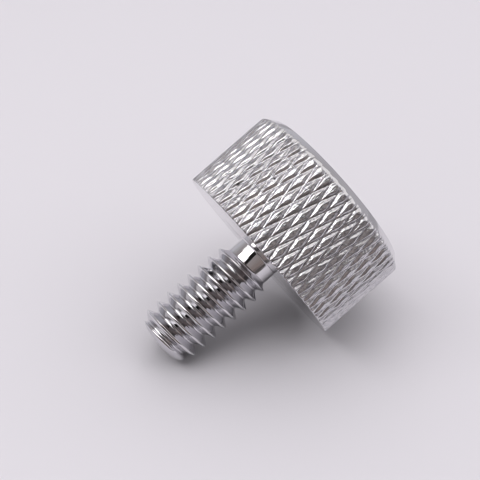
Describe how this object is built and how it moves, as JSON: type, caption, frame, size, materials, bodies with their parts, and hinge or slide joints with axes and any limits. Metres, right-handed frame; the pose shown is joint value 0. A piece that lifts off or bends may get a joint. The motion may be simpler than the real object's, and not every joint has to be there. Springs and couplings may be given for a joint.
{
  "type": "knurled thumb screw",
  "caption": "Steel thumb screw with a thick diamond-knurled round head, a smooth neck and a short round-ended threaded shank.",
  "frame": {"origin": "centre of the flat end face of the head, the face the screw stands on", "axes": "+Z along the screw's axis, from the head towards the end of the shank; +X and +Y across the head, with a flat top of the lowest ring of diamonds on +Y and on -Y"},
  "size_m": [0.019, 0.019, 0.0219],
  "materials": {
    "plated_steel": "bright plated, fine turning marks"
  },
  "bodies": {
    "root": {"thumb_screw": "plated_steel"}
  },
  "joints": []
}
